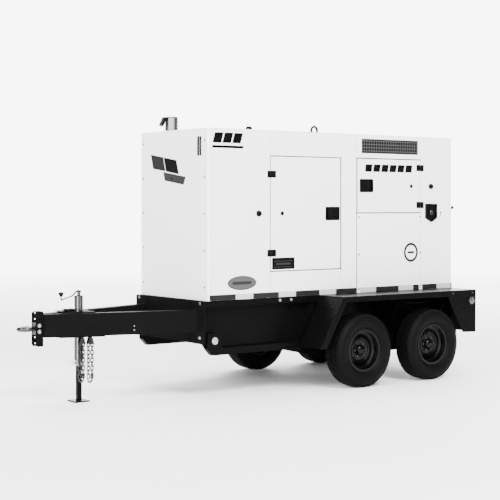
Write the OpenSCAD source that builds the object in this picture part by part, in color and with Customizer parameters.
// Towable diesel generator on a tandem trailer.
// X runs from the drawbar (-X) to the tail (+X), -Y is the road side, Z = 0 is the ground.
// Lengths along X are measured from the front face of the canopy and shifted by centre_x.

/* [Canopy] */
// Length of the canopy
canopy_l = 3184; // [3100:10:3250]
// Half of the canopy's width
canopy_hw = 578; // [570:1:584]
// Height of the roof above the ground
roof_z = 2487; // [2470:1:2500]
// Thickness of the sheet metal
sheet = 3; // [2:0.5:4]
// Outer radius of the four corner posts
corner_r = 20; // [16:1:24]
// Gap between neighbouring panels
seam = 2; // [1:0.5:3]

/* [Doors] */
// Depth of a door leaf
door_t = 28; // [24:1:32]
// Bottom edge of the engine and rear doors
door_z0 = 1147; // [1140:1:1160]
// Top edge of all doors
door_z1 = 2241; // [2235:1:2245]
// Bottom edge of the control door
control_z0 = 1700; // [1695:1:1710]
// Distance of the hinge pin from the panel face
hinge_y = 7.5; // [7.5:0.1:8]
// Width of the latch tray
latch_w = 176; // [170:1:180]
// Height of the latch tray
latch_h = 126; // [122:1:130]

/* [Base] */
// Half of the base's width
base_hw = 586; // [584:1:590]
// Bottom of the base rails
base_z0 = 391; // [385:1:395]
// Top of the base rails and of the fender decks
base_z1 = 893; // [890:1:895]
// Depth of the base rail's lips
lip_d = 60; // [55:1:65]

/* [Running gear] */
// Tyre radius
tyre_r = 360; // [355:1:362]
// Tyre section width
tyre_w = 225; // [215:1:230]
// Wheel centre plane, from the middle of the trailer
track_y = 836.5; // [832:0.5:840]
// Front wheel centre behind the canopy's front face
front_axle_x = 1619; // [1610:1:1625]
// Rear wheel centre behind the canopy's front face
rear_axle_x = 2550; // [2545:1:2560]
// Length of a torsion arm
arm_l = 152; // [150:1:155]
// Outer face of the fender skirts
skirt_y = 930; // [926:1:934]

/* [Drawbar] */
// Height of the drawbar rails
rail_h = 205; // [200:1:210]
// Bottom of the drawbar rails
rail_z = 605; // [600:1:610]
// Inner radius of the lunette ring
eye_r = 38.1; // [37:0.1:39]
// Pitch of the height-adjustment holes
hole_pitch = 54; // [52:1:56]

/* [Jack] */
// Outer width of the jack's fixed tube
jack_w = 60; // [58:1:64]
// Top of the jack's fixed tube
jack_top = 952; // [945:1:960]

/* [Hidden] */
$fn = 48;

// Places along X
base_x0 = -34;
base_x1 = canopy_l - 6;
flange_x = base_x0 - 12;
eye_x = -1555;
eye_tube_r = 20.5;
eye_ring_r = eye_r + 19.4;
tip_x = eye_x - eye_ring_r - eye_tube_r;
tail_x = canopy_l + 62;
centre_x = (tip_x + tail_x) / 2;
ear_z0 = 550;
eye_z = ear_z0 + 2.5 * hole_pitch;
// Seams of the side panels
seam_1 = 728;
seam_2 = 1619;
seam_3 = 1825;
seam_4 = 2723;
door_1_end = 1605;
rear_hinge_y = -378;
rear_door_y1 = 440;
hinge_zs = [1318, 2070];
control_hinge_zs = [1776, 2162];
hinge_h = 66;
catch_off = 142;
buffer_off = 157;
catch_h = 25;
catch_z = 1696;
control_catch_z = 1971;
// Moulded tray behind each latch
tray_w = latch_w + 16;
tray_h = latch_h + 16;
// Jack and chains
jack_x = -1020;
pin_z = 350;
front_chain = [-1024, -57];
rear_chain = [-962, -106];
wire = 9;
link_pitch = 36;
link_r = 12.5;
chain_z = rail_z - 33;
// Exhaust
stack_x = 215;
stack_y = 350;
stack_r = 64;
stack_top = 2634;
cap_pivot = stack_r + 22;

// Moves a drawing from the canopy's front face to the part's own origin.
module shift() translate([-centre_x, 0, 0]) children();

// A box from its two corners.
module span(a, b) translate(a) cube(b - a);

// A box mirrored to one side: side is -1 for the road side and 1 for the kerb side.
module side_span(side, x0, x1, y0, y1, z0, z1)
  span([x0, min(side * y0, side * y1), z0], [x1, max(side * y0, side * y1), z1]);

// A flat plate in the XZ plane between two distances from the middle.
module side_plate(side, points, y0, y1)
  translate([0, side > 0 ? y1 : -y0, 0]) rotate([90, 0, 0]) linear_extrude(y1 - y0) polygon(points);

// A round bar along Y between two distances from the middle.
module side_bar(side, x, z, r, y0, y1)
  translate([x, side * y0, z]) rotate([-90 * side, 0, 0]) cylinder(r = r, h = y1 - y0);

// Hexagon bolt head with its washer, standing on the origin along +Z.
module bolt_head(across, h) {
  cylinder(r = across * 0.68, h = h * 0.2);
  translate([0, 0, h * 0.15]) cylinder(r = across * 0.56, h = h * 0.85, $fn = 6);
}

// ---- Trailer base ----

module base_rails() color("#1b1b1d") shift()
  for (side = [-1, 1]) {
    side_span(side, base_x0, base_x1, base_hw - lip_d, base_hw, base_z1 - 58, base_z1);
    side_plate(side, [[base_x0 + 86, base_z0], [base_x1, base_z0], [base_x1, base_z0 + 64],
      [base_x0 + 22, base_z0 + 64]], base_hw - lip_d, base_hw);
    side_plate(side, [[base_x0, 498], [base_x0 + 86, base_z0], [base_x1, base_z0],
      [base_x1, base_z1], [base_x0, base_z1]], base_hw - lip_d - 7, base_hw - lip_d - 0.5);
    // Doubler plate that carries the front side lamp
    side_plate(side, [[base_x0 + 24, 462], [base_x0 + 46, base_z0 + 50], [154, base_z0 + 50],
      [154, 575], [136, 593], [base_x0 + 24, 593]], base_hw + 0.5, base_hw + 5.5);
  }

module cross_members() color("#202022") shift() {
  span([base_x0 - 6.5, -base_hw, 497], [base_x0 - 0.5, base_hw, base_z1]);
  for (side = [-1, 1])
    side_span(side, flange_x - 1, base_x0 - 7, 382, base_hw, 497, base_z1);
  inner = base_hw - lip_d - 7.5;
  for (x = [640, 1240, 2080, 2960])
    span([x, -inner, base_z0], [x + 70, inner, base_z0 + 50]);
  for (x = [820, 1560, 1960, 2560])
    span([x, -inner, base_z1 - 60], [x + 80, inner, base_z1 - 6.5]);
  // Floor under the engine bay
  span([base_x0, -inner, base_z1 - 6], [base_x1, inner, base_z1]);
  span([base_x1 + 0.5, -base_hw, base_z0], [base_x1 + 6.5, base_hw, base_z1]);
  // Tail bumper tube
  span([base_x1 + 7, -base_hw, base_z0 + 10], [tail_x, base_hw, base_z0 + 60]);
}

module axle_subframe() color("#1b1b1d") shift() {
  low = 290;
  for (side = [-1, 1]) {
    difference() {
      side_plate(side, [[870, base_z0 - 0.5], [1350, low], [2760, low], [2990, base_z0 - 0.5]],
        base_hw - 12, base_hw);
      for (x = [front_axle_x, rear_axle_x])
        side_bar(side, x - arm_l, 345, 30.05, base_hw - 20, base_hw + 10);
    }
  }
  for (x = [front_axle_x, rear_axle_x])
    span([x - arm_l - 45, -base_hw + 12.5, 300], [x - arm_l + 45, base_hw - 12.5, 390]);
}

module fender(side) {
  y0 = base_hw + 0.5;
  plate = 4;
  front_top = 1341;
  front_low = 1061;
  strip = 65;
  // Deck
  side_span(side, front_top, 3178, y0, skirt_y, base_z1 - 5, base_z1);
  // Skirt with the wheel opening
  side_plate(side, [[front_top, base_z1 - 5.5], [3178, base_z1 - 5.5], [3173, 450], [2992, 457],
    [2975, 475], [2763, 838], [1378, 846], [front_low + strip, 410], [front_low, 410]],
    skirt_y - plate, skirt_y);
  // Slanted front plate between the base and the skirt
  side_plate(side, [[front_top + 4, base_z1 - 5.5], [front_top + 10, base_z1 - 5.5],
    [front_low + 10, 410], [front_low + 4, 410]], y0, skirt_y - plate - 0.5);
  // Rear plate
  side_span(side, 3168, 3172, y0, skirt_y - plate - 0.5, 452, base_z1 - 5.5);
  // Foot that ties the skirt's front corner to the base
  side_span(side, 880, front_low + 2, y0, y0 + 60, base_z0, base_z0 + 8);
}

module fender_left() color("#1b1b1d") shift() fender(-1);
module fender_right() color("#1b1b1d") shift() fender(1);

module fuel_tank() color("#2a2a2c") shift() {
  span([860, -505, base_z0 + 62], [2900, 505, base_z1 - 66]);
  translate([2955, 420, base_z0 + 180]) {
    cylinder(r = 45, h = 240);
    translate([0, 0, 240]) cylinder(r = 52, h = 30);
  }
  span([2900.5, 360, base_z0 + 150], [3010, 480, base_z0 + 179.5]);
}

// ---- Drawbar ----

module drawbar_rails() color("#1b1b1d") shift() {
  x0 = -1400;
  x1 = flange_x - 1.5;
  slope = 0.309;
  wide = 79.6;
  y_front = 70;
  for (side = [-1, 1])
    translate([0, 0, rail_z]) linear_extrude(rail_h) polygon([
      [x0, side * 0.3], [x0, side * y_front], [x1, side * (y_front + slope * (x1 - x0))],
      [x1, side * (y_front - wide + slope * (x1 - x0))],
      [x0 + (wide - y_front + 0.3) / slope, side * 0.3]]);
}

module drawbar_head() color("#1b1b1d") shift() {
  // Pintle channel: web and two drilled ears
  span([-1412, -45, 525], [-1400.5, 45, 835]);
  for (side = [-1, 1])
    difference() {
      side_plate(side, [[-1412.5, 525], [-1412.5, 835], [-1455, 835], [-1470, 820], [-1470, 540],
        [-1455, 525]], 35, 45);
      for (k = [0 : 5])
        side_bar(side, -1440, ear_z0 + k * hole_pitch, 8.5, 30, 50);
    }
  // Cross plate under the rails, with the jack's opening
  difference() {
    translate([0, 0, rail_z - 10]) linear_extrude(9.5)
      polygon([[-1260, -105], [-870, -215], [-870, 215], [-1260, 105]]);
    span([jack_x - 30.5, -30.5, rail_z - 20], [jack_x + 30.5, 30.5, rail_z + 10]);
  }
  // Top plate that holds the jack and the breakaway switch
  difference() {
    translate([0, 0, rail_z + rail_h + 0.5]) linear_extrude(8)
      polygon([[-1190, -95], [-930, -150], [-930, 150], [-1190, 95]]);
    span([jack_x - 30.5, -30.5, 800], [jack_x + 30.5, 30.5, 830]);
  }
  // Chain eyes under the cross plate
  for (at = [front_chain, rear_chain])
    difference() {
      span([at[0] - 16, at[1] - 5, rail_z - 50], [at[0] + 16, at[1] + 5, rail_z - 10.5]);
      translate([at[0], at[1], chain_z]) rotate([90, 0, 0]) cylinder(r = 9, h = 20, center = true);
    }
}

module lunette_eye() color("#242426") shift() {
  translate([eye_x, 0, eye_z]) {
    rotate_extrude($fn = 96) intersection() {
      translate([eye_ring_r, 0]) circle(r = eye_tube_r);
      translate([eye_r, -30]) square([80, 60]);
    }
    translate([eye_ring_r + 8, -22, -18]) cube([30, 44, 36]);
  }
  difference() {
    span([eye_x + eye_ring_r + 30, -34.5, eye_z - 55], [-1413, 34.5, eye_z + 55]);
    for (k = [2, 3])
      side_bar(1, -1440, ear_z0 + k * hole_pitch, 8.5, -40, 40);
  }
}

module frame_bolts() color("#c9c8c2") shift() {
  // Lunette bolts with their nuts
  for (k = [2, 3]) {
    z = ear_z0 + k * hole_pitch;
    side_bar(1, -1440, z, 8, -45, 45);
    for (side = [-1, 1])
      translate([-1440, side * 45, z]) rotate([-90 * side, 0, 0]) bolt_head(26, 14);
  }
  // Corner flange bolts
  for (side = [-1, 1])
    for (z = [556, 872])
      translate([flange_x - 1, side * 520, z]) rotate([0, -90, 0]) bolt_head(22, 10);
  // Fender bolts in the base's top lip
  for (side = [-1, 1])
    for (x = [835, 973])
      translate([x, side * base_hw, 866]) rotate([-90 * side, 0, 0]) bolt_head(22, 10);
  // Jack bolts on the drawbar's top plate
  for (side = [-1, 1])
    for (x = [-975, -1065])
      translate([x, side * 62, rail_z + rail_h + 8.5]) bolt_head(18, 9);
}

// ---- Jack ----

module square_tube(w, wall, z0, z1)
  difference() {
    span([-w / 2, -w / 2, z0], [w / 2, w / 2, z1]);
    span([-w / 2 + wall, -w / 2 + wall, z0 - 1], [w / 2 - wall, w / 2 - wall, z1 + 1]);
  }

module jack_tube() color("#1f1f21") shift() translate([jack_x, 0, 0]) {
  square_tube(jack_w, 4, 370, jack_top);
  difference() {
    union() {
      span([-30, -30, jack_top + 0.3], [30, 30, jack_top + 6]);
      translate([0, 0, jack_top + 5.9]) cylinder(r = 17, h = 8);
    }
    translate([0, 0, jack_top - 5]) cylinder(r = 9.05, h = 40);
  }
}

module jack_leg() color("#8f9092") shift() translate([jack_x, 0, 0])
  difference() {
    square_tube(50, 4, 325, 860);
    translate([-30, 0, pin_z]) rotate([0, 90, 0]) cylinder(r = 6.05, h = 20);
  }

module jack_drop_leg() color("#2a2a2c") shift() translate([jack_x, 0, 0]) {
  difference() {
    span([-20, -20, 12], [20, 20, 560]);
    // Groove that the pull pin's tip rides in
    span([-21, -7, 60], [-9, 7, 561]);
  }
  difference() {
    span([-75, -75, 0], [75, 75, 11.5]);
    for (x = [-55, 55])
      for (y = [-55, 55])
        translate([x, y, -1]) cylinder(r = 7, h = 20);
  }
}

module jack_pin() color("#c9c8c2") shift() translate([jack_x, 0, pin_z]) {
  rotate([0, -90, 0]) translate([0, 0, 10]) cylinder(r = 6, h = 40);
  translate([-62, 0, 0]) rotate([90, 0, 0]) rotate_extrude() translate([13, 0]) circle(r = 2.5, $fn = 16);
}

module jack_crank() color("#c9c8c2") shift() translate([jack_x, 0, 0]) {
  r = 7;
  translate([0, 0, jack_top + 1]) cylinder(r = 9, h = 42);
  translate([0, 0, jack_top + 15]) cylinder(r = 15, h = 16);
  translate([0, 0, jack_top + 44]) rotate([90, 0, 0]) cylinder(r = 12, h = 46, center = true);
  hull() {
    translate([0, 0, jack_top + 44]) sphere(r = r, $fn = 24);
    translate([-22, 0, jack_top + 44]) sphere(r = r, $fn = 24);
  }
  hull() {
    translate([-22, 0, jack_top + 44]) sphere(r = r, $fn = 24);
    translate([-70, 0, jack_top + 4]) sphere(r = r, $fn = 24);
  }
  hull() {
    translate([-70, 0, jack_top + 4]) sphere(r = r, $fn = 24);
    translate([-180, 0, jack_top - 28]) sphere(r = r, $fn = 24);
  }
  translate([-180, 0, jack_top - 28]) cylinder(r = r, h = 42);
  translate([-180, 0, jack_top + 10]) {
    cylinder(r1 = 12, r2 = 22, h = 16);
    translate([0, 0, 15.9]) cylinder(r1 = 22, r2 = 17, h = 12);
  }
}

// ---- Safety chains and breakaway switch ----

// One link in the XZ plane, its middle on the origin.
module chain_link() {
  straight = link_pitch - 2 * (link_r - wire / 2);
  for (up = [0, 1])
    mirror([0, 0, up]) translate([0, 0, straight / 2]) rotate([90, 0, 0])
      rotate_extrude(angle = 180, $fn = 32) translate([link_r, 0]) circle(r = wire / 2, $fn = 16);
  for (dx = [-link_r, link_r])
    translate([dx, 0, -straight / 2 - 0.01]) cylinder(r = wire / 2, h = straight + 0.02, $fn = 16);
}

// Shackle on the chain eye with two strands of links hanging from its lower pins.
module safety_chain(at) translate([at[0], at[1], chain_z]) {
  rows = 9;
  strand = 19;
  low_pin = -40;
  first = low_pin + 6 + 0.3 - link_pitch / 2;
  rotate([90, 0, 0]) cylinder(r = 8.9, h = 46, center = true);
  for (s = [-1, 1])
    translate([0, s * 18 + 4, 0]) rotate([90, 0, 0]) linear_extrude(8)
      polygon([[-14, 11], [14, 11], [28, -34], [28, -48], [-28, -48], [-28, -34]]);
  for (s = [-1, 1]) {
    translate([s * strand, 0, low_pin]) rotate([90, 0, 0]) cylinder(r = 6, h = 40, center = true);
    for (k = [0 : rows - 1])
      translate([s * strand, 0, first - k * (link_pitch - 0.4)]) rotate([0, 0, k % 2 == 0 ? 0 : 90])
        chain_link();
  }
}

module chain_front() color("#b9b9b6") shift() safety_chain(front_chain);
module chain_rear() color("#b9b9b6") shift() safety_chain(rear_chain);

switch_z = rail_z + rail_h + 9;
switch_pin_z = switch_z + 12;

module breakaway_switch() color("#151516") shift()
  difference() {
    span([-1168, -24, switch_z], [-1079, 24, switch_z + 24]);
    translate([-1169, 0, switch_pin_z]) rotate([0, 90, 0]) cylinder(r = 4.05, h = 40);
  }

module breakaway_pin() color("#c9c8c2") shift() translate([-1168, 0, switch_pin_z]) {
  translate([-22, 0, 0]) rotate([0, 90, 0]) cylinder(r = 4, h = 60);
  translate([-28, 0, 0]) rotate([0, 90, 0]) cylinder(r = 10, h = 7);
  translate([-60, 0, 0]) rotate_extrude() translate([32, 0]) circle(r = 2.5, $fn = 16);
}

// ---- Canopy ----

post_in = canopy_hw - door_t - 1;

module corner_post(x_sign, y_sign)
  linear_extrude(roof_z - sheet - 0.5 - base_z1 - 0.5)
    mirror([x_sign > 0 ? 1 : 0, 0]) mirror([0, y_sign > 0 ? 1 : 0]) difference() {
      union() {
        translate([corner_r, corner_r]) circle(r = corner_r);
        translate([corner_r, 0]) square([20, sheet]);
        translate([0, corner_r]) square([sheet, 20]);
      }
      translate([corner_r, corner_r]) circle(r = corner_r - sheet);
      translate([corner_r, sheet]) square([40, 40]);
      translate([sheet, corner_r]) square([40, 40]);
    }

module canopy_frame() color("#ececea") shift() {
  low = base_z1 + 0.5;
  high = roof_z - sheet - 0.5;
  for (xs = [-1, 1])
    for (ys = [-1, 1])
      translate([xs < 0 ? 0 : canopy_l, ys * canopy_hw, low]) corner_post(xs, ys);
  // Posts behind the seams and rails along the eaves
  for (side = [-1, 1]) {
    for (x = [[690, 770], [1560, 1660], [1790, 1860], [2680, 2770]])
      side_span(side, x[0], x[1], post_in - 40, post_in, low, high - 41);
    for (x = [[690, 724], [1623, 1660], [1790, 1821], [2727, 2770]])
      side_span(side, x[0], x[1], post_in + 0.3, canopy_hw - sheet - 0.5, low, high - 41);
    side_span(side, 45, canopy_l - 45, post_in - 40, post_in, high - 40, high);
    side_span(side, 45, canopy_l - 45, canopy_hw - sheet - 12.5, canopy_hw - sheet - 4.5, high - 40, high);
  }
}

// One flat side panel between two seams.
module side_panel(side, x0, x1, z0, z1)
  side_span(side, x0 + seam / 2, x1 - seam / 2, canopy_hw - sheet, canopy_hw, z0 + seam / 2, z1 - seam / 2);

module grille_cut(side, x0, columns, z0, rows, pitch, hole)
  for (c = [0 : columns - 1])
    for (r = [0 : rows - 1])
      side_span(side, x0 + c * pitch, x0 + c * pitch + hole, canopy_hw - 10, canopy_hw + 10,
        z0 + r * pitch, z0 + r * pitch + hole);

module side_panels() color("#f0f0ee") shift()
  for (side = [-1, 1]) {
    low = base_z1 + 0.5;
    high = roof_z - sheet - 0.5;
    side_panel(side, corner_r + 21, seam_1, low, high);
    side_panel(side, seam_1, seam_2, low, door_z0);
    side_panel(side, seam_1, seam_2, door_z1, high);
    side_panel(side, seam_2, seam_3, low, high);
    difference() {
      side_panel(side, seam_4, canopy_l - corner_r - 21, low, high);
      if (side < 0)
        side_bar(side, estop_x, estop_z, 10, canopy_hw - 10, canopy_hw + 10);
    }
    difference() {
      side_panel(side, seam_3, seam_4, door_z1 + 4, high);
      side_span(side, 1892, 2682, canopy_hw - 10, canopy_hw + 10, 2298, 2446);
    }
  }

module vent_grilles() color("#f0f0ee") shift() {
  // Square-hole grilles above the control doors
  hole = 25;
  pitch = 33.5;
  for (side = [-1, 1])
    difference() {
      side_span(side, 1884, 2690, canopy_hw - sheet - 4, canopy_hw - sheet - 0.5, 2290, 2454);
      grille_cut(side, 1903, 23, 2294, 5, pitch, hole);
    }
  // Slats over the radiator outlet in the roof
  for (k = [0 : 9])
    translate([70 + 40 * k, 0, roof_z - 14]) rotate([0, -35, 0]) span([0, -298, 0], [26, 198, 2]);
}

module canopy_front() color("#f0f0ee") shift()
  difference() {
    edge = canopy_hw - corner_r - 21;
    span([0, -edge, base_z1 + 1], [sheet, edge, roof_z - sheet - 0.5]);
    for (column = [0, 1])
      for (row = [0 : 4])
        span([-5, -472 + 36 * column, 2243 + 34 * row], [10, -442 + 36 * column, 2267 + 34 * row]);
  }

module canopy_rear() color("#f0f0ee") shift() {
  edge = canopy_hw - corner_r - 21;
  x0 = canopy_l - sheet;
  high = roof_z - sheet - 0.5;
  span([x0, -edge, base_z1 + 1], [canopy_l, rear_hinge_y - seam / 2, high]);
  span([x0, rear_door_y1 + seam, base_z1 + 1], [canopy_l, edge, high]);
  span([x0, rear_hinge_y + seam / 2, base_z1 + 1], [canopy_l, rear_door_y1 + seam - 1, door_z0 - seam / 2]);
  span([x0, rear_hinge_y + seam / 2, door_z1 + seam / 2], [canopy_l, rear_door_y1 + seam - 1, high]);
}

module canopy_roof() color("#f2f2f0") shift() {
  y0 = -300;
  y1 = 200;
  difference() {
    translate([0, -canopy_hw, roof_z - sheet]) linear_extrude(sheet)
      translate([corner_r, corner_r]) offset(r = corner_r, $fn = 32)
        square([canopy_l - 2 * corner_r, 2 * (canopy_hw - corner_r)]);
    span([60, y0, roof_z - 20], [490, y1, roof_z + 20]);
    translate([stack_x, stack_y, roof_z - 20]) cylinder(r = stack_r + 8, h = 40);
  }
  // Small cowl over the radiator's filler cap
  translate([860, -60, roof_z + 0.3]) {
    cylinder(r = 34, h = 52);
    translate([0, 0, 51.9]) cylinder(r1 = 34, r2 = 22, h = 15);
  }
}

module connection_cover() color("#efefed") shift() {
  side_panel(-1, seam_3 + 5, seam_4, base_z1 + 1, control_z0 - 8);
  side_panel(1, seam_3 + 5, seam_4, base_z1 + 1, door_z1 + 4);
}

module lifting_bail() color("#d8d8d5") shift() translate([1753, 0, roof_z + 0.3]) {
  r = 38;
  bar = 12;
  rise = 62;
  difference() {
    span([-85, -60, 0], [85, 60, 10]);
    for (x = [-68, 68])
      for (y = [-44, 44])
        translate([x, y, -1]) cylinder(r = 7, h = 20);
  }
  for (s = [-1, 1])
    translate([s * r, 0, 9.9]) cylinder(r = bar, h = rise - 9.9);
  translate([0, 0, rise]) rotate([90, 0, 0]) rotate_extrude(angle = 180) translate([r, 0]) circle(r = bar);
}

// ---- Hinges, catches and doors ----

// Hinge parts stand on the origin: panel face on Y = 0, pin along Z, outward is -Y.
module hinge_fixed() {
  span([-38, -4, -hinge_h / 2], [-8, 0, hinge_h / 2]);
  for (z = [-hinge_h / 2, hinge_h / 2 - 21.8]) {
    translate([0, -hinge_y, z]) cylinder(r = 7, h = 21.8);
    span([-12, -7, z], [-1, -0.01, z + 21.8]);
  }
  translate([0, -hinge_y, -hinge_h / 2]) cylinder(r = 3, h = hinge_h);
}

module hinge_moving()
  difference() {
    union() {
      span([8, -4, -hinge_h / 2], [66, 0, hinge_h / 2]);
      span([1, -7, -10.8], [12, -0.01, 10.8]);
      translate([0, -hinge_y, -10.8]) cylinder(r = 7, h = 21.6);
    }
    translate([0, -hinge_y, -40]) cylinder(r = 3.05, h = 80);
  }

// Rubber hold-open catch on the panel face.
module catch_pad()
  rotate([90, 0, 0]) difference() {
    union() {
      cylinder(r1 = 29, r2 = 25, h = catch_h - 6);
      translate([0, 0, catch_h - 6.1]) cylinder(r1 = 25, r2 = 18, h = 6.1);
    }
    translate([0, 0, catch_h - 8]) cylinder(r = 9, h = 20);
  }

// Striker stud on the door.
module catch_stud()
  rotate([90, 0, 0]) {
    cylinder(r = 20, h = 4);
    cylinder(r = 8, h = 12);
  }

// Door leaf in its own frame: hinge pin at X = 0, leaf towards +X, outer face on Y = 0, inward is +Y.
module door_leaf(w, z0, z1, hinges, latch_x, latch_z, stud_z) {
  difference() {
    span([2, 0, z0], [w, door_t, z1]);
    span([2 + 25, sheet, z0 + 25], [w - 25, door_t + 1, z1 - 25]);
    span([latch_x - latch_w / 2, -1, latch_z - latch_h / 2], [latch_x + latch_w / 2, 10, latch_z + latch_h / 2]);
    span([latch_x - tray_w / 2, sheet, latch_z - tray_h / 2], [latch_x + tray_w / 2, door_t + 1, latch_z + tray_h / 2]);
  }
  for (z = hinges)
    translate([0, -0.05, z]) hinge_moving();
  translate([catch_off, 0, stud_z]) catch_stud();
  // Latch tray
  translate([latch_x, 0, latch_z]) difference() {
    span([-tray_w / 2, sheet - 0.5, -tray_h / 2], [tray_w / 2, 24, tray_h / 2]);
    span([-latch_w / 2 + 3, -1, -latch_h / 2 + 3], [latch_w / 2 - 3, 21, latch_h / 2 - 3]);
    translate([latch_w / 2 - 14, 12, -latch_h]) cylinder(r = 3.05, h = 2 * latch_h);
  }
}

// Paddle in the door's frame, hinged on a vertical pin at its +X edge.
module latch_paddle(latch_x, latch_z) translate([latch_x, 0, latch_z]) {
  pin_x = latch_w / 2 - 14;
  half = latch_h / 2 - 8;
  translate([pin_x, 12, -latch_h / 2 - 4]) cylinder(r = 3, h = latch_h + 8);
  difference() {
    union() {
      translate([pin_x, 12, -half]) cylinder(r = 7, h = 2 * half);
      span([-latch_w / 2 + 34, 5, -half], [pin_x, 10, half]);
      span([-latch_w / 2 + 34, 5, -half], [-latch_w / 2 + 40, 17, half]);
    }
    translate([pin_x - 46, 12, 0]) rotate([90, 0, 0]) cylinder(r = 9, h = 20);
  }
}

latch_1_x = 1506 - seam_1;
latch_1_z = 1692;
latch_2_x = seam_4 - 1957;
latch_2_z = 1972;

// Places a hinge-frame drawing on a side: dir 1 opens from the front edge, -1 from the rear edge.
module on_side(side, x, dir)
  translate([x, side * canopy_hw, 0]) mirror([dir < 0 ? 1 : 0, 0, 0]) mirror([0, side > 0 ? 1 : 0, 0]) children();

// Places a hinge-frame drawing on the rear face, with the leaf towards +Y.
module on_rear() translate([canopy_l, rear_hinge_y, 0]) rotate([0, 0, 90]) children();

engine_door_w = door_1_end - seam_1;
control_door_w = seam_4 - seam_3 - 13;
rear_door_w = rear_door_y1 - rear_hinge_y;
rear_latch_x = rear_door_w - 120;

module engine_door() door_leaf(engine_door_w, door_z0 + 2, door_z1 - 2, hinge_zs, latch_1_x, latch_1_z, catch_z);
module rear_leaf() door_leaf(rear_door_w, door_z0 + 2, door_z1 - 2, hinge_zs, rear_latch_x, latch_1_z, 1560);
module control_leaf()
  door_leaf(control_door_w, control_z0 + 2, door_z1, control_hinge_zs, latch_2_x, latch_2_z, control_catch_z);

module door_left_engine() color("#f1f1ef") shift() on_side(-1, seam_1, 1) engine_door();
module door_right_engine() color("#f1f1ef") shift() on_side(1, seam_1, 1) engine_door();
module door_left_control() color("#f1f1ef") shift() on_side(-1, seam_4, -1) control_leaf();
module door_rear() color("#f1f1ef") shift() on_rear() rear_leaf();
module latch_left_engine() color("#111112") shift() on_side(-1, seam_1, 1) latch_paddle(latch_1_x, latch_1_z);
module latch_right_engine() color("#111112") shift() on_side(1, seam_1, 1) latch_paddle(latch_1_x, latch_1_z);
module latch_left_control() color("#111112") shift() on_side(-1, seam_4, -1) latch_paddle(latch_2_x, latch_2_z);
module latch_rear() color("#111112") shift() on_rear() latch_paddle(rear_latch_x, latch_1_z);

module door_hardware() color("#111112") shift() {
  for (side = [-1, 1]) {
    on_side(side, seam_1, 1) {
      for (z = hinge_zs)
        translate([0, -0.05, z]) hinge_fixed();
      translate([-catch_off, -0.05, catch_z]) catch_pad();
    }
  }
  on_side(-1, seam_4, -1) {
    for (z = control_hinge_zs)
      translate([0, -0.05, z]) hinge_fixed();
    translate([-catch_off, -0.05, control_catch_z]) catch_pad();
  }
  on_rear() {
    for (z = hinge_zs)
      translate([0, -0.05, z]) hinge_fixed();
    // Long rubber buffer at the corner
    translate([-buffer_off, -0.05, 1749]) rotate([90, 0, 0]) {
      cylinder(r = 18, h = 54);
      translate([0, 0, 53.9]) cylinder(r1 = 18, r2 = 12, h = 8);
    }
  }
}

module panel_screws() color("#bdbdb9") shift() {
  r = 8;
  h = 4;
  for (y = [-527, 527])
    for (z = [1017, 1356, 1696, 2035, 2375])
      translate([-0.05, y, z]) rotate([0, -90, 0]) cylinder(r = r, h = h);
  for (side = [-1, 1])
    for (x = [seam_3 + 30, seam_4 - 10])
      for (z = [930, 1278, 1654])
        side_bar(side, x, z, r, canopy_hw + 0.05, canopy_hw + h);
  for (side = [-1, 1])
    for (x = [120 : 368 : 3070])
      translate([x, side * (canopy_hw - 22), roof_z + 0.05]) cylinder(r = 7, h = 3);
  for (side = [-1, 1])
    for (x = [2839, 3129])
      side_bar(side, x, 864, 7, skirt_y + 0.05, skirt_y + 4);
}

// ---- Exhaust, emergency stop and lamps ----

module exhaust_stack() color("#b5b4b0") shift() {
  // Silencer under the roof, with feet on the frame's cross member
  translate([stack_x, stack_y, 1480]) {
    cylinder(r = 118, h = 720);
    translate([0, 0, 719.9]) cylinder(r1 = 118, r2 = stack_r, h = 40);
  }
  translate([stack_x, stack_y, 2239]) difference() {
    cylinder(r = stack_r, h = stack_top - 2239);
    translate([0, 0, 60]) cylinder(r = stack_r - 3, h = 600);
  }
  // Hinge bosses of the rain cap
  for (dy = [-30, 18])
    translate([stack_x - cap_pivot, stack_y + dy, stack_top - 14])
      difference() {
        span([-9, 0, -10], [27, 12, 13]);
        translate([0, -1, 8]) rotate([-90, 0, 0]) cylinder(r = 4.05, h = 20);
      }
}

module rain_cap() color("#a9a8a4") shift() translate([stack_x - cap_pivot, stack_y, stack_top - 6]) {
  translate([0, -32, 0]) rotate([-90, 0, 0]) cylinder(r = 4, h = 64);
  translate([0, -17, 0]) rotate([-90, 0, 0]) cylinder(r = 7.5, h = 34);
  translate([cap_pivot, 0, 8]) cylinder(r = stack_r + 4, h = 4);
  translate([cap_pivot, 0, 11.9]) cylinder(r1 = stack_r, r2 = 30, h = 7);
  span([-4, -10, 6.3], [48, 10, 12]);
  // Counterweight arm
  rotate([0, -62, 0]) {
    span([-60, -7, -5], [0, 7, 3]);
    span([-84, -16, -7], [-44, 16, 5]);
  }
}

estop_x = 2861;
estop_z = 1697;

module estop_guard() color("#161617") shift()
  difference() {
    side_plate(-1, [[2783, 1789], [2943, 1789], [2943, 1640], [2863, 1598], [2783, 1640]],
      canopy_hw + 0.05, canopy_hw + 22);
    side_plate(-1, [[2791, 1781], [2935, 1781], [2935, 1645], [2863, 1607], [2791, 1645]],
      canopy_hw + 5, canopy_hw + 30);
    side_bar(-1, estop_x, estop_z, 9.05, canopy_hw - 10, canopy_hw + 30);
  }

module estop_button() color("#7d7d7d") shift() {
  side_bar(-1, estop_x, estop_z, 9, canopy_hw - 12, canopy_hw + 14);
  translate([estop_x, -canopy_hw - 13.9, estop_z]) rotate([90, 0, 0]) {
    cylinder(r = 26, h = 8);
    translate([0, 0, 7.9]) cylinder(r1 = 26, r2 = 20, h = 5);
  }
}

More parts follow.
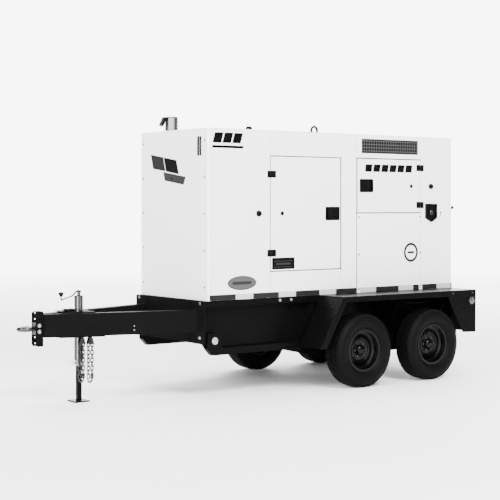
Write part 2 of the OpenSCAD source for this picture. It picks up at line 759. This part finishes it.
module marker_lamps() color("#cfcfcb") shift() {
  for (side = [-1, 1]) {
    side_bar(side, 67, 527, 40, base_hw + 6, base_hw + 14);
    side_bar(side, 3112, 781, 45, skirt_y + 0.05, skirt_y + 14);
    // Tail lamps on the rear plates of the fenders
    span([3178.5, side * 770 - 75, 640], [3196, side * 770 + 75, 760]);
  }
  // Three lamps in the middle of the tail plate
  for (y = [-110, 0, 110])
    translate([base_x1 + 6.6, y, 800]) rotate([0, 90, 0]) cylinder(r = 20, h = 10);
}

// ---- Inside the canopy ----

crank_z = 1190;
fan_z = 1400;
fan_x = 712;
fan_r = 370;

module engine() color("#3c4248") shift() {
  // Block, oil pan, cylinder head and rocker cover
  span([790, -190, 1010], [1490, 190, 1470]);
  span([830, -150, base_z1 + 20], [1450, 150, 1009.7]);
  span([800, -170, 1470.3], [1480, 170, 1610]);
  for (k = [0 : 2])
    span([812 + k * 222, -110, 1610.3], [1024 + k * 222, 90, 1690]);
  // Gear case with the fan bearing and crank pulley
  difference() {
    span([755, -220, 1060], [789.7, 220, 1520]);
    translate([700, 0, fan_z]) rotate([0, 90, 0]) cylinder(r = 20.05, h = 80);
  }
  translate([725, 0, crank_z]) rotate([0, 90, 0]) cylinder(r = 95, h = 29.7);
  // Flywheel housing
  translate([1490.3, 0, crank_z]) rotate([0, 90, 0]) cylinder(r = 270, h = 70);
  // Oil and fuel filters, starter and injection pump on the road side
  for (x = [860, 970])
    translate([x, -262, 1090]) {
      cylinder(r = 48, h = 190);
      translate([0, 0, 190]) cylinder(r = 55, h = 40);
    }
  for (x = [860, 970])
    span([x - 30, -215, 1285], [x + 30, -190.3, 1320]);
  translate([1240, -270, 1120]) rotate([0, 90, 0]) cylinder(r = 62, h = 249);
  span([1260, -225, 1080], [1440, -190.3, 1160]);
  span([1060, -290, 1300], [1330, -190.3, 1400]);
  for (k = [0 : 5])
    translate([1082 + k * 45, -240, 1400.3]) cylinder(r = 11, h = 46);
  // Manifolds on both sides of the head
  span([820, -250, 1500], [1460, -170.3, 1570]);
  for (k = [0 : 5])
    translate([850 + k * 116, 170.3, 1540]) rotate([-90, 0, 0]) cylinder(r = 30, h = 50);
  translate([810, 250, 1540]) rotate([0, 90, 0]) cylinder(r = 42, h = 660);
  // Turbocharger
  translate([1180, 250, 1583]) {
    cylinder(r = 48, h = 40);
    translate([-70, 0, 85]) rotate([0, 90, 0]) cylinder(r = 78, h = 55);
    translate([30, 0, 85]) rotate([0, 90, 0]) cylinder(r = 88, h = 60);
    translate([-20, 0, 85]) rotate([0, 90, 0]) cylinder(r = 40, h = 55);
  }
  // Air cleaner on its bracket
  translate([900, -300, 1890]) rotate([0, 90, 0]) {
    cylinder(r = 125, h = 430);
    translate([0, 0, 430]) cylinder(r = 132, h = 40);
    translate([0, 0, 469.9]) cylinder(r = 60, h = 60);
  }
  for (x = [980, 1240])
    span([x, -330, 1690.4], [x + 40, -270, 1764]);
  span([960, -330, 1650], [1300, -110.5, 1690]);
  // Feet on the cross members
  for (y = [-250, 190.5])
    for (x = [840, 1400])
      span([x, y, 1040], [x + 60, y + 59, 1090]);
  for (y = [-250, 190.5])
    for (x = [840, 1400])
      span([x + 10, y, base_z1 + 0.5], [x + 50, y + 59, 1039.7]);
}

module alternator() color("#4a4f55") shift() {
  translate([0, 0, crank_z]) rotate([0, 90, 0]) {
    translate([0, 0, 1560.7]) cylinder(r = 262, h = 60);
    translate([0, 0, 1620.6]) cylinder(r = 240, h = 430);
    for (k = [0 : 11])
      rotate([0, 0, k * 30]) translate([236, -8, 1660]) cube([16, 16, 340]);
    translate([0, 0, 2050.5]) cylinder(r1 = 240, r2 = 190, h = 90);
  }
  span([1700, -180, crank_z + 256], [2050, 180, crank_z + 400]);
  for (y = [-230, 130])
    span([1700, y, base_z1 + 0.5], [2040, y + 100, crank_z - 178]);
}

module radiator() color("#2b2d30") shift() {
  x0 = 560;
  low = base_z1 + 10;
  high = 1960;
  // Core, header tanks, side channels and fan shroud
  span([x0 + 10, -430, low + 70], [x0 + 80, 430, high - 90]);
  span([x0, -450, high - 89.7], [x0 + 100, 450, high]);
  span([x0, -450, low], [x0 + 100, 450, low + 69.7]);
  for (s = [-1, 1])
    side_span(s, x0, x0 + 100, 430.3, 470, low + 70, high - 90);
  translate([x0 + 100, 0, high - 40]) cylinder(r = 30, h = 70);
  difference() {
    span([x0 + 101, -430, low + 60], [x0 + 116, 430, high - 95]);
    translate([x0 + 90, 0, fan_z]) rotate([0, 90, 0]) cylinder(r = fan_r + 22, h = 60);
  }
  difference() {
    translate([x0 + 116, 0, fan_z]) rotate([0, 90, 0]) cylinder(r = fan_r + 26, h = 40);
    translate([x0 + 90, 0, fan_z]) rotate([0, 90, 0]) cylinder(r = fan_r + 22, h = 90);
  }
}

module cooling_fan() color("#17181a") shift() translate([fan_x, 0, fan_z]) rotate([0, 90, 0]) {
  translate([0, 0, -30]) cylinder(r = 70, h = 30);
  translate([0, 0, -1]) cylinder(r = 20, h = 60);
  for (k = [0 : 7])
    rotate([0, 0, k * 45]) translate([60, 0, -15]) rotate([28, 0, 0]) translate([0, -45, -2.5])
      cube([fan_r - 62, 90, 5]);
}

panel_y = 470;

module control_panel() color("#202226") shift() {
  // Cabinet behind the control door
  span([1880, -panel_y, 1715], [2660, -260, 2225]);
  difference() {
    span([1870, -panel_y - 6, 1705], [2670, -panel_y - 0.3, 2235]);
    span([2400, -panel_y - 10, 1990], [2520, -panel_y + 2, 2130]);
  }
  // Controller with its screen frame
  span([1960, -panel_y - 30, 2000], [2200, -panel_y - 6.3, 2160]);
  // Gauges and switches
  for (k = [0 : 3])
    translate([1980 + k * 75, -panel_y - 6.3, 1920]) rotate([90, 0, 0]) cylinder(r = 28, h = 14);
  for (k = [0 : 4])
    translate([1970 + k * 62, -panel_y - 6.3, 1820]) rotate([90, 0, 0]) cylinder(r = 15, h = 22);
  // Main breaker with the lever's bearing
  difference() {
    span([2410, -panel_y - 40, 2000], [2510, -panel_y - 6.3, 2120]);
    span([2440, -panel_y - 50, 2020], [2480, -panel_y - 12, 2100]);
    translate([2400, -panel_y - 24, 2060]) rotate([0, 90, 0]) cylinder(r = 4.05, h = 120);
  }
  // Receptacle row
  for (k = [0 : 2])
    span([2330 + k * 105, -panel_y - 20, 1760], [2410 + k * 105, -panel_y - 6.3, 1860]);
  // Legs down to the base
  for (x = [1890, 2610])
    span([x, -440, base_z1 + 0.5], [x + 40, -400, 1714.7]);
}

module breaker_lever() color("#0f0f10") shift() translate([2460, -panel_y - 24, 2060]) {
  translate([-30, 0, 0]) rotate([0, 90, 0]) cylinder(r = 4, h = 60);
  translate([-15, 0, 0]) rotate([0, 90, 0]) cylinder(r = 10, h = 30);
  rotate([-22, 0, 0]) span([-9, -42, -7], [9, -4, 7]);
}

// ---- Running gear ----

pivot_z = 345;

module torsion_arm(side, wheel_x) {
  x0 = wheel_x - arm_l;
  y0 = base_hw + 4;
  side_bar(side, x0, pivot_z, 30, base_hw - 11.8, y0 + 1);
  side_bar(side, x0, pivot_z, 46, y0, y0 + 32);
  side_bar(side, wheel_x, tyre_r, 40, y0, y0 + 32);
  side_plate(side, [[x0, pivot_z - 34], [wheel_x, tyre_r - 30], [wheel_x, tyre_r + 30], [x0, pivot_z + 34]],
    y0 + 2, y0 + 30);
  side_bar(side, wheel_x, tyre_r, 22, y0 + 31, track_y - 12);
}

module arm_front_left() color("#232325") shift() torsion_arm(-1, front_axle_x);
module arm_front_right() color("#232325") shift() torsion_arm(1, front_axle_x);
module arm_rear_left() color("#232325") shift() torsion_arm(-1, rear_axle_x);
module arm_rear_right() color("#232325") shift() torsion_arm(1, rear_axle_x);

// Places a wheel drawn with its outer face towards +Z.
module on_wheel(side, wheel_x)
  translate([wheel_x, side * track_y, tyre_r]) rotate([-90 * side, 0, 0]) children();

bead_r = 190;

module rim() {
  // Barrel with its two flanges and drop centre
  rotate_extrude($fn = 96) polygon([
    [bead_r, -76], [bead_r + 16, -76], [bead_r + 16, -82], [bead_r - 6, -82], [bead_r - 6, -40],
    [bead_r - 32, -26], [bead_r - 32, 14], [bead_r - 6, 30], [bead_r - 6, 82], [bead_r + 16, 82],
    [bead_r + 16, 76], [bead_r, 76], [bead_r, 26], [bead_r - 26, 10], [bead_r - 26, -22], [bead_r, -36]]);
  // Disc with hub
  difference() {
    union() {
      rotate_extrude($fn = 96) polygon([
        [0, -4], [98, -4], [122, 12], [140, 2], [bead_r - 32, -14], [bead_r - 32, -6], [142, 9],
        [122, 20], [96, 4], [0, 4]]);
      translate([0, 0, -72]) cylinder(r = 66, h = 69);
    }
    translate([0, 0, -73]) cylinder(r = 22.05, h = 63);
  }
  // Hub cap
  translate([0, 0, 4.2]) {
    cylinder(r = 46, h = 34);
    translate([0, 0, 33.9]) cylinder(r1 = 46, r2 = 34, h = 10);
  }
  // Lug nuts
  for (k = [0 : 5])
    rotate([0, 0, k * 60]) translate([69.85, 0, 4.2]) {
      cylinder(r = 12, h = 16, $fn = 6);
      translate([0, 0, 15.9]) cylinder(r = 7, h = 6);
    }
}

tyre_outline = [[190.4, 75.6], [206.6, 75.6], [226, 99], [250, 109], [275, 112.5], [300, 110], [325, 102],
  [343, 92], [354, 80], [360, 60]];
tyre_lining = [[344, 60], [336, 78], [322, 89], [298, 97], [275, 100], [250, 97], [228, 87], [207, 64], [190.4, 50]];

// Half-section, scaled to the tyre's radius and width.
function section(points, k) = [for (p = points)
  [p[0] > 210 ? p[0] * tyre_r / 360 : p[0], k * (p[0] > 210 ? p[1] * tyre_w / 225 : p[1])]];
function backwards(points) = [for (i = [len(points) - 1 : -1 : 0]) points[i]];

module tyre() rotate_extrude($fn = 96)
  polygon(concat(section(tyre_outline, 1), section(backwards(tyre_outline), -1),
    section(backwards(tyre_lining), -1), section(tyre_lining, 1)));

module rim_front_left() color("#161617") shift() on_wheel(-1, front_axle_x) rim();
module rim_front_right() color("#161617") shift() on_wheel(1, front_axle_x) rim();
module rim_rear_left() color("#161617") shift() on_wheel(-1, rear_axle_x) rim();
module rim_rear_right() color("#161617") shift() on_wheel(1, rear_axle_x) rim();
module tyre_front_left() color("#2b2b2c") shift() on_wheel(-1, front_axle_x) tyre();
module tyre_front_right() color("#2b2b2c") shift() on_wheel(1, front_axle_x) tyre();
module tyre_rear_left() color("#2b2b2c") shift() on_wheel(-1, rear_axle_x) tyre();
module tyre_rear_right() color("#2b2b2c") shift() on_wheel(1, rear_axle_x) tyre();

base_rails();
cross_members();
axle_subframe();
fender_left();
fender_right();
fuel_tank();
drawbar_rails();
drawbar_head();
lunette_eye();
frame_bolts();
jack_tube();
jack_leg();
jack_drop_leg();
jack_pin();
jack_crank();
chain_front();
chain_rear();
breakaway_switch();
breakaway_pin();
canopy_frame();
side_panels();
canopy_front();
canopy_rear();
canopy_roof();
vent_grilles();
connection_cover();
door_hardware();
panel_screws();
lifting_bail();
exhaust_stack();
rain_cap();
estop_guard();
estop_button();
marker_lamps();
door_left_engine();
door_left_control();
door_right_engine();
door_rear();
latch_left_engine();
latch_left_control();
latch_right_engine();
latch_rear();
engine();
alternator();
radiator();
cooling_fan();
control_panel();
breaker_lever();
arm_front_left();
arm_front_right();
arm_rear_left();
arm_rear_right();
rim_front_left();
rim_front_right();
rim_rear_left();
rim_rear_right();
tyre_front_left();
tyre_front_right();
tyre_rear_left();
tyre_rear_right();
